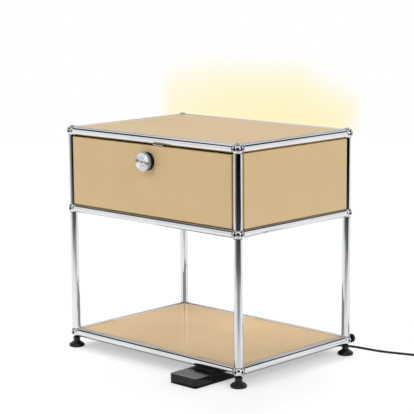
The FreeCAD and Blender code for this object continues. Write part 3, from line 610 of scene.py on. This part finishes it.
def port_threads():
    """Oiled thread inside every free port, whose dark tone is partly painted shade: a small black
    hole in a bright countersink.
    """
    section = [(2.97, 10.22), (2.8, 10.1)]
    section += thread_profile(4.4, 9.9, 2.95, 2.6, 1.0)[::-1] + [(2.6, 4.3), (0.0, 4.3)]
    for level in ("bottom", "middle", "top"):
        parts = [turned_rings(section, centre, way, 20)
                 for port_level, centre, way in free_ports() if port_level == level]
        piece("port_threads_" + level, *joined(parts), thread_steel_painted_shade, "cabinet", "balls_" + level)


def glide_collars():
    """Fluted collar under each bottom ball, turned by hand to level the cabinet."""
    collar = [(7.3, 12.0), (8.1, 12.5), (8.3, 13.0), (8.3, 15.6), (8.1, 16.0), (7.3, 16.4)]
    groove = [(7.3, 18.2), (7.75, 18.5), (7.75, 19.6), (7.3, 19.9)]
    down = Vector((0, 0, -1))
    for row, y in (("front", FRONT), ("back", BACK)):
        for side, x in (("left", LEFT), ("right", RIGHT)):
            centre = Vector((x, y, LOW))
            parts = [turned_rings(collar, centre, down, 96, 16, 0.7),
                     turned_rings(groove, centre, down, 48)]
            where = row + "_" + side
            piece("glide_collar_" + where, *joined(parts), polyamide, "foot_" + where,
                  "glide_" + where)


def boot_profile():
    """Tapered strain relief with six ribs, thick end first."""
    points = [(2.6, 0.0), (4.3, 0.0), (4.6, 0.4), (4.6, 2.6)]
    for rib in range(6):
        along = 3.2 + 2.9 * rib
        radius = 4.5 - 0.19 * rib
        points += [(radius - 0.75, along), (radius - 0.75, along + 0.9), (radius, along + 1.2),
                   (radius, along + 2.5)]
    return points + [(3.25, 21.2), (3.1, 21.9), (2.55, BOOT_L)]


def boots():
    """Moulded strain reliefs where the two cords leave the dimmer and one enters the plug."""
    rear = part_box("dimmer_housing")[1].y / MM
    plug_face = plug_start + plug_way * BOOT_L
    for name, start, way in (("link_boot", Vector((LINK_X, rear, CORD_H)), Vector((0, 1, 0))),
                             ("lead_boot", Vector((LEAD_X, rear, CORD_H)), Vector((0, 1, 0))),
                             ("plug_boot", plug_face, -plug_way)):
        piece(name + "_ribbed", *turned_rings(boot_profile(), start, way, 40), rubber, "cabinet",
              name, name)


def plug_section(width, thickness, along, steps):
    """Rounded rectangle across the plug at a distance from the cord's end."""
    level = Vector((-plug_way.y, plug_way.x, 0)).normalized()
    # A power of 1 would make it an oval, and a smaller one makes its corners squarer
    squareness = 0.42
    ring = []
    for step in range(steps):
        turn = 2 * math.pi * step / steps
        across = math.copysign(abs(math.cos(turn)) ** squareness, math.cos(turn)) * width / 2
        rise = math.copysign(abs(math.sin(turn)) ** squareness, math.sin(turn)) * thickness / 2
        ring.append(plug_start + plug_way * along + level * across + Vector((0, 0, rise)))
    return ring


def plug_shell():
    """Flat moulded two-pin plug with ribbed finger grips where its sides draw in."""
    rows = [(10.6, 10.4, 21.9), (12.0, 11.8, 22.4), (12.4, 12.2, 23.0)]
    for rib in range(5):
        along = 24.6 + 2.6 * rib
        width = 13.4 + 2.3 * rib
        rows += [(width - 1.0, 11.6, along), (width - 1.0, 11.6, along + 0.8),
                 (width, 12.9, along + 1.2), (width + 0.9, 12.9, along + 2.2)]
    rows += [(25.4, 12.9, 39.0), (26.0, 13.0, 41.0), (26.0, 13.0, 54.4), (25.6, 12.6, 55.4),
             (24.4, 11.4, 56.0), (6.0, 3.0, 56.0), (0.1, 0.1, 56.0)]
    corners, steps = [], 44
    for width, thickness, along in rows:
        corners += plug_section(width, thickness, along, steps)
    piece("plug_moulded", corners, ring_faces(len(rows), steps), rubber, "cabinet", "plug_body",
          "plug_body", crease=40)


knob_pieces()
keyway_painted_shade()
port_threads()
glide_collars()
boots()
plug_shell()

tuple(link_route[0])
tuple(lead_route[0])


# Floor, surroundings and light

def stage_mesh(name, corners, faces, material):
    """A part of the studio, not of the cabinet."""
    mesh = bpy.data.meshes.new(name)
    mesh.from_pydata(corners, [], faces)
    mesh.materials.append(material)
    made = bpy.data.objects.new(name, mesh)
    scene.collection.objects.link(made)
    return made


def only_seen_by(made, eye):
    """Hides a part of the studio from all but the camera, or from all but glossy things."""
    for kind in ("camera", "glossy", "diffuse", "transmission", "shadow"):
        setattr(made, "visible_" + kind, kind == eye)


def looked_at(tree):
    """One where the camera, glossy metal or clear plastic looks, and zero for all other light."""
    path = add(tree, "LightPath")
    seen = add(tree, "Math", {0: path.outputs["Is Camera Ray"], 1: path.outputs["Is Glossy Ray"]},
               operation="MAXIMUM")
    return add(tree, "Math", {0: seen, 1: path.outputs["Is Transmission Ray"]},
               operation="MAXIMUM")


def pale_floor():
    """A matt white studio sweep. Where the camera or bright metal sees it, part of its white is its
    own, so that the cabinet's shadow on it stays as light as in the photograph."""
    made, tree = blank("matt_white_paper_sweep")
    place = add(tree, "TexCoord").outputs["Object"]
    pulp = add(tree, "TexNoise", {"Vector": place, "Scale": per_metre(1.5), "Detail": 3.0})
    tint = add(tree, "Mix", {0: pulp, 6: linear("#F0F0F0"), 7: linear("#F4F4F4")},
               data_type="RGBA")
    paper = add(tree, "BsdfDiffuse", {"Color": tint.outputs[2]})
    white = add(tree, "Emission", {"Color": linear("#FAFCFF"), "Strength": 1.25})
    share = add(tree, "Math", {0: looked_at(tree), 1: 0.37}, operation="MULTIPLY")
    both = add(tree, "MixShader", {0: share, 1: paper, 2: white})
    add(tree, "OutputMaterial", {"Surface": both})
    return made


FLOOR_R = 4.0
FLOOR_STEPS = 96
floor_turns = [2 * math.pi * step / FLOOR_STEPS for step in range(FLOOR_STEPS)]
floor_rim = [(FLOOR_R * math.cos(turn), FLOOR_R * math.sin(turn), 0) for turn in floor_turns]
stage_mesh("floor", floor_rim, [tuple(range(FLOOR_STEPS))], pale_floor())


def studio_cloth():
    """Dark studio cloth hung where only the chrome sees it, as a photographer hangs it to draw the
    dark lines in bright metal; it thins out into the white at its edges."""
    made, tree = blank("dark_studio_cloth")
    place = add(tree, "TexCoord").outputs["Object"]
    folds = add(tree, "TexNoise", {"Vector": place, "Scale": per_metre(400), "Detail": 2.0})
    tint = add(tree, "Mix", {0: folds, 6: linear("#ECECF0"), 7: linear("#FFFFFF")},
               data_type="RGBA")
    tone = add(tree, "Attribute", attribute_name="tone").outputs["Fac"]
    cloth = add(tree, "Emission", {"Color": tint.outputs[2], "Strength": tone})
    cover = add(tree, "Attribute", attribute_name="cover").outputs["Fac"]
    clear = add(tree, "BsdfTransparent")
    both = add(tree, "MixShader", {0: cover, 1: clear, 2: cloth})
    add(tree, "OutputMaterial", {"Surface": both})
    return made


cloth = studio_cloth()


def eased(share):
    """A share that starts and ends gently, kept between nothing and all."""
    share = min(max(share, 0.0), 1.0)
    return share * share * (3 - 2 * share)


def cloth_sheet(name, rows, columns, place, cover, tone):
    """A cloth seen by bright metal alone. Its rows and columns are given to three rules: where each
    corner is, how much of it is cloth, and how light that is. Columns are degrees from the
    camera's side."""
    corners, covers, tones = [], [], []
    for row in rows:
        for column in columns:
            corners.append(place(row, math.radians(column + CAMERA_YAW)))
            covers.append(cover(row, column))
            tones.append(tone(row, column))
    made = stage_mesh(name, corners, sheet_faces(len(rows), len(columns)), cloth)
    for label, values in (("cover", covers), ("tone", tones)):
        made.data.attributes.new(label, "FLOAT", "POINT").data.foreach_set("value", values)
    only_seen_by(made, "glossy")


def on_floor(reach, turn):
    """A corner just over the floor, that far from the cabinet's middle."""
    return (reach * math.sin(turn), -reach * math.cos(turn), 0.003)


def on_dome(reach):
    """The rule for corners on a dome of that radius, by their height in degrees."""
    def place(height, turn):
        up = math.radians(height)
        level = reach * math.cos(up)
        return (level * math.sin(turn), -level * math.cos(turn), reach * math.sin(up))
    return place


def compartment_share(reach):
    """Nothing where the open storey's posts mirror the floor, all where the compartment's do."""
    return eased((reach - 1.85) / 0.35)


def floor_cover(reach, turn):
    """How much cloth lies there: a patch by the cabinet, and from side to side further out."""
    near = 0.92 * eased((reach - 0.25) / 0.85) * math.exp(-((turn - 8) / 32) ** 2)
    half = (78 if turn < 0 else 66) + 13 * compartment_share(reach)
    far = eased((reach - 0.85) / 0.6) * eased((half - abs(turn)) / 14)
    return max(near, far)


def floor_tone(reach, turn):
    """How light it is: darker further out, and paler towards its left end."""
    upper = compartment_share(reach)
    right = 0.2 * math.exp(-(max(reach - 1.2, 0.0) / 0.75) ** 1.3)
    left = max(right, 0.115 * (1 - upper)) + 0.4 * upper * eased((-turn - 18) / 56)
    left += 0.5 * (1 - upper) * eased((-turn - 28) / 34)
    return right + (left - right) * eased((4 - turn) / 8)


def hang_cloths():
    """Everything that the chrome mirrors beside the white."""
    # Lies on the sweep towards the camera, where the uprights mirror it
    cloth_sheet("cloth_on_floor",
                [0.35, 0.5, 0.65, 0.8, 0.95, 1.1, 1.25, 1.4, 1.6, 1.8, 1.9, 2.0, 2.1, 2.2, 2.5,
                 3.0, 3.6, 4.5, 6, 9],
                range(-90, 91, 3), on_floor, floor_cover, floor_tone)
    for side, name in ((-1, "left"), (1, "right")):
        # Hangs beside the cabinet, between the walls and the overhead light, where the level
        # tubes mirror it
        cloth_sheet("cloth_high_" + name, [26, 28, 30, 32, 34, 38, 42, 44, 46, 48],
                    [side * turn for turn in range(40, 130, 2)], on_dome(6.0),
                    lambda height, turn: (
                        eased((height - 27) / 4) * eased((48 - height) / 3)
                        * eased((abs(turn) - 40) / 14) * eased((128 - abs(turn)) / 7)),
                    lambda height, turn: 0.02 + 0.12 * eased((95 - abs(turn)) / 45))
        # Its far end, the thin dark line where the back and left tubes rise behind a panel
        cloth_sheet("cloth_far_" + name, range(30, 47, 2),
                    [side * turn for turn in range(144, 177, 2)], on_dome(6.0),
                    lambda height, turn: (
                        0.7 * eased((height - 30) / 3) * eased((46 - height) / 3)
                        * eased((abs(turn) - 144) / 6) * eased((174 - abs(turn)) / 6)),
                    lambda height, turn: 0.02)
    # Hangs behind the camera and is the dark middle of every ball
    cloth_sheet("cloth_behind_camera", range(-3, 40, 3), range(-33, 34, 3), on_dome(5.0),
                lambda height, turn: eased((32 - abs(turn)) / 9) * eased((37 - height) / 9),
                lambda height, turn: 0.015)
    # Grey ceiling, the grey cap of every ball
    cloth_sheet("cloth_overhead", range(46, 91, 4), range(-180, 181, 6), on_dome(6.5),
                lambda height, turn: 0.9 * eased((height - 46) / 18),
                lambda height, turn: 0.22 + 0.3 * eased((abs(turn) - 90) / 60))
    # White card beside the camera, which lightens the balls to the right of their dark middle
    cloth_sheet("white_card", range(-2, 31, 4), range(31, 54, 2), on_dome(4.8),
                lambda height, turn: eased((11 - abs(turn - 42)) / 4) * eased((30 - height) / 8),
                lambda height, turn: 1.7)
    # Grey backdrop that only gloss sees, mirrored by the top and the shelf
    cloth_sheet("cloth_backdrop", range(0, 28, 2), range(96, 265, 6), on_dome(6.5),
                lambda height, turn: eased((26 - height) / 8) * eased((84 - abs(turn - 180)) / 20),
                lambda height, turn: 0.45)


hang_cloths()


def grey_card(name, low, high, height, tone):
    """A grey card lying face up that only bright metal above it sees: a painted reflection, so that
    the chrome stays as neutral as in the photograph."""
    made, tree = blank(name)
    place = add(tree, "TexCoord").outputs["Object"]
    pulp = add(tree, "TexNoise", {"Vector": place, "Scale": per_metre(40), "Detail": 2.0})
    tint = add(tree, "Mix", {0: pulp, 6: linear("#F0F0F2"), 7: linear("#FFFFFF")},
               data_type="RGBA")
    card = add(tree, "Emission", {"Color": tint.outputs[2], "Strength": tone})
    underside = add(tree, "NewGeometry").outputs["Backfacing"]
    clear = add(tree, "BsdfTransparent")
    both = add(tree, "MixShader", {0: underside, 1: card, 2: clear})
    add(tree, "OutputMaterial", {"Surface": both})
    (x0, y0), (x1, y1) = low, high
    corners = [Vector((x, y, height)) * MM for x, y in ((x0, y0), (x1, y0), (x1, y1), (x0, y1))]
    only_seen_by(stage_mesh(name, corners, [(0, 1, 2, 3)], made), "glossy")


# Painted reflection: the posts mirror grey here in place of the shelf's beige
grey_card("grey_card_painted_reflection_on_shelf", (-241, FRONT + 9), (241, BACK - 9), 42.6, 0.34)
# Painted shadow: the bottom tubes mirror the cabinet's shade on the floor as this grey
grey_card("grey_card_painted_shadow_under_cabinet", (LEFT - 12, FRONT - 12), (RIGHT + 12, BACK + 12), 3.0, 0.24)


def studio_white():
    """White all round where the camera, glossy metal or clear plastic sees it. As light it is
    strongest at the walls and weaker overhead, so that colours come out as they are written."""
    world = bpy.data.worlds.new("studio_white")
    world.use_nodes = True
    tree = world.node_tree
    tree.nodes.clear()
    place = add(tree, "TexCoord").outputs["Generated"]
    height = add(tree, "SeparateXYZ", {0: place}).outputs["Z"]
    as_light = add(tree, "MapRange", {"Value": height, "From Min": 0.0, "From Max": 1.0,
                                      "To Min": 0.63, "To Max": 0.58})
    strength = add(tree, "Mix", {0: looked_at(tree), 2: as_light, 3: 1.0}, data_type="FLOAT")
    light = add(tree, "Background", {"Color": linear("#FFFFFF"), "Strength": strength})
    add(tree, "OutputWorld", {"Surface": light})
    scene.world = world


studio_white()


def painted_tube_glow():
    """A painted glow: the warm light that the light tube throws up past the cabinet, painted on a
    hanging sheet. Where it thins out, what is behind shows through, and from behind it isn't seen
    at all."""
    made, tree = blank("warm_painted_tube_glow")
    place = add(tree, "TexCoord").outputs["Object"]
    drift = add(tree, "TexNoise", {"Vector": place, "Scale": per_metre(300), "Detail": 2.0})
    tint = add(tree, "Mix", {0: drift, 6: linear("#FFF4C2"), 7: linear("#FFF6C8")},
               data_type="RGBA")
    glow = add(tree, "Emission", {"Color": tint.outputs[2], "Strength": 1.0})
    # The haze attribute holds how strong the painted glow is at each corner
    glow_strength = add(tree, "Attribute", attribute_name="haze").outputs["Fac"]
    rear = add(tree, "NewGeometry").outputs["Backfacing"]
    front = add(tree, "Math", {0: 1.0, 1: rear}, operation="SUBTRACT")
    share = add(tree, "Math", {0: glow_strength, 1: front}, operation="MULTIPLY")
    clear = add(tree, "BsdfTransparent")
    both = add(tree, "MixShader", {0: share, 1: clear, 2: glow})
    add(tree, "OutputMaterial", {"Surface": both})
    return made


def painted_glow_strength(corner):
    """How strong the painted glow is at a point of the wall. Its soft outline was read from the
    photograph, in pixels, along the line from the camera through that point."""
    away = corner - CAMERA_PLACE
    focal = PICTURE * LENS_MM / SENSOR_MM / away.dot(AHEAD)
    x = PICTURE / 2 + focal * away.dot(LEVEL)
    y = PICTURE / 2 + focal * away.dot(DOWN)
    upper_edge = 50 + 0.52 * max(x - 298, 0) + 0.2 * max(200 - x, 0)
    rise = 1 - math.exp(-(max(y - upper_edge, 0) / 29.5) ** 1.6)
    left_end = eased((x - 158) / 14) * (0.78 + 0.22 * eased((x - 168) / 64))
    right_end = 1 - eased((x + 0.45 * max(y - 106, 0) - 350) / 23)
    above_tube = eased((corner.z - 0.435) / 0.05)
    return rise * left_end * right_end * above_tube


def paint_tube_glow_on_wall():
    """The painted glow of warm light over the cabinet's back edge, where the light tube shines up
    past the wall."""
    columns, rows, wall_y = 121, 61, 0.215
    corners = [Vector((-0.42 + 0.84 * column / (columns - 1), wall_y,
                       0.42 + 0.42 * row / (rows - 1)))
               for row in range(rows) for column in range(columns)]
    # The sheet that carries the painted glow
    haze = stage_mesh("painted_tube_glow_on_wall", corners, sheet_faces(rows, columns), painted_tube_glow())
    thickness = [painted_glow_strength(corner) for corner in corners]
    haze.data.attributes.new("haze", "FLOAT", "POINT").data.foreach_set("value", thickness)
    only_seen_by(haze, "camera")


paint_tube_glow_on_wall()


def softbox(name, strength, spread, azimuth, height):
    """A large, even, distant lamp that bright metal doesn't show as a spot. Its azimuth is counted
    from the door's side towards the right."""
    lamp = bpy.data.lights.new(name, "SUN")
    lamp.energy = strength
    lamp.angle = math.radians(spread)
    made = bpy.data.objects.new(name, lamp)
    scene.collection.objects.link(made)
    turn, up = math.radians(azimuth), math.radians(height)
    source = Vector((math.sin(turn) * math.cos(up), -math.cos(turn) * math.cos(up), math.sin(up)))
    made.rotation_mode = "QUATERNION"
    made.rotation_quaternion = source.to_track_quat("Z", "Y")
    made.location = source * 3
    made.visible_glossy = False


softbox("overhead_softbox", 1.02, 28, -137, 58.5)
softbox("front_softbox", 0.66, 25, -10, 37)
softbox("right_softbox", 0.89, 25, 80, 36)


def shelf_fill():
    """A weak flat lamp under the compartment, to lift the light on the open shelf."""
    lamp = bpy.data.lights.new("shelf_fill", "AREA")
    lamp.shape = "RECTANGLE"
    lamp.size, lamp.size_y = 0.40, 0.30
    lamp.energy = 0.42
    made = bpy.data.objects.new("shelf_fill", lamp)
    scene.collection.objects.link(made)
    made.location = (-0.06, 0.0, 0.30)
    made.visible_camera = False
    made.visible_glossy = False


shelf_fill()

scene.view_settings.view_transform = "Standard"
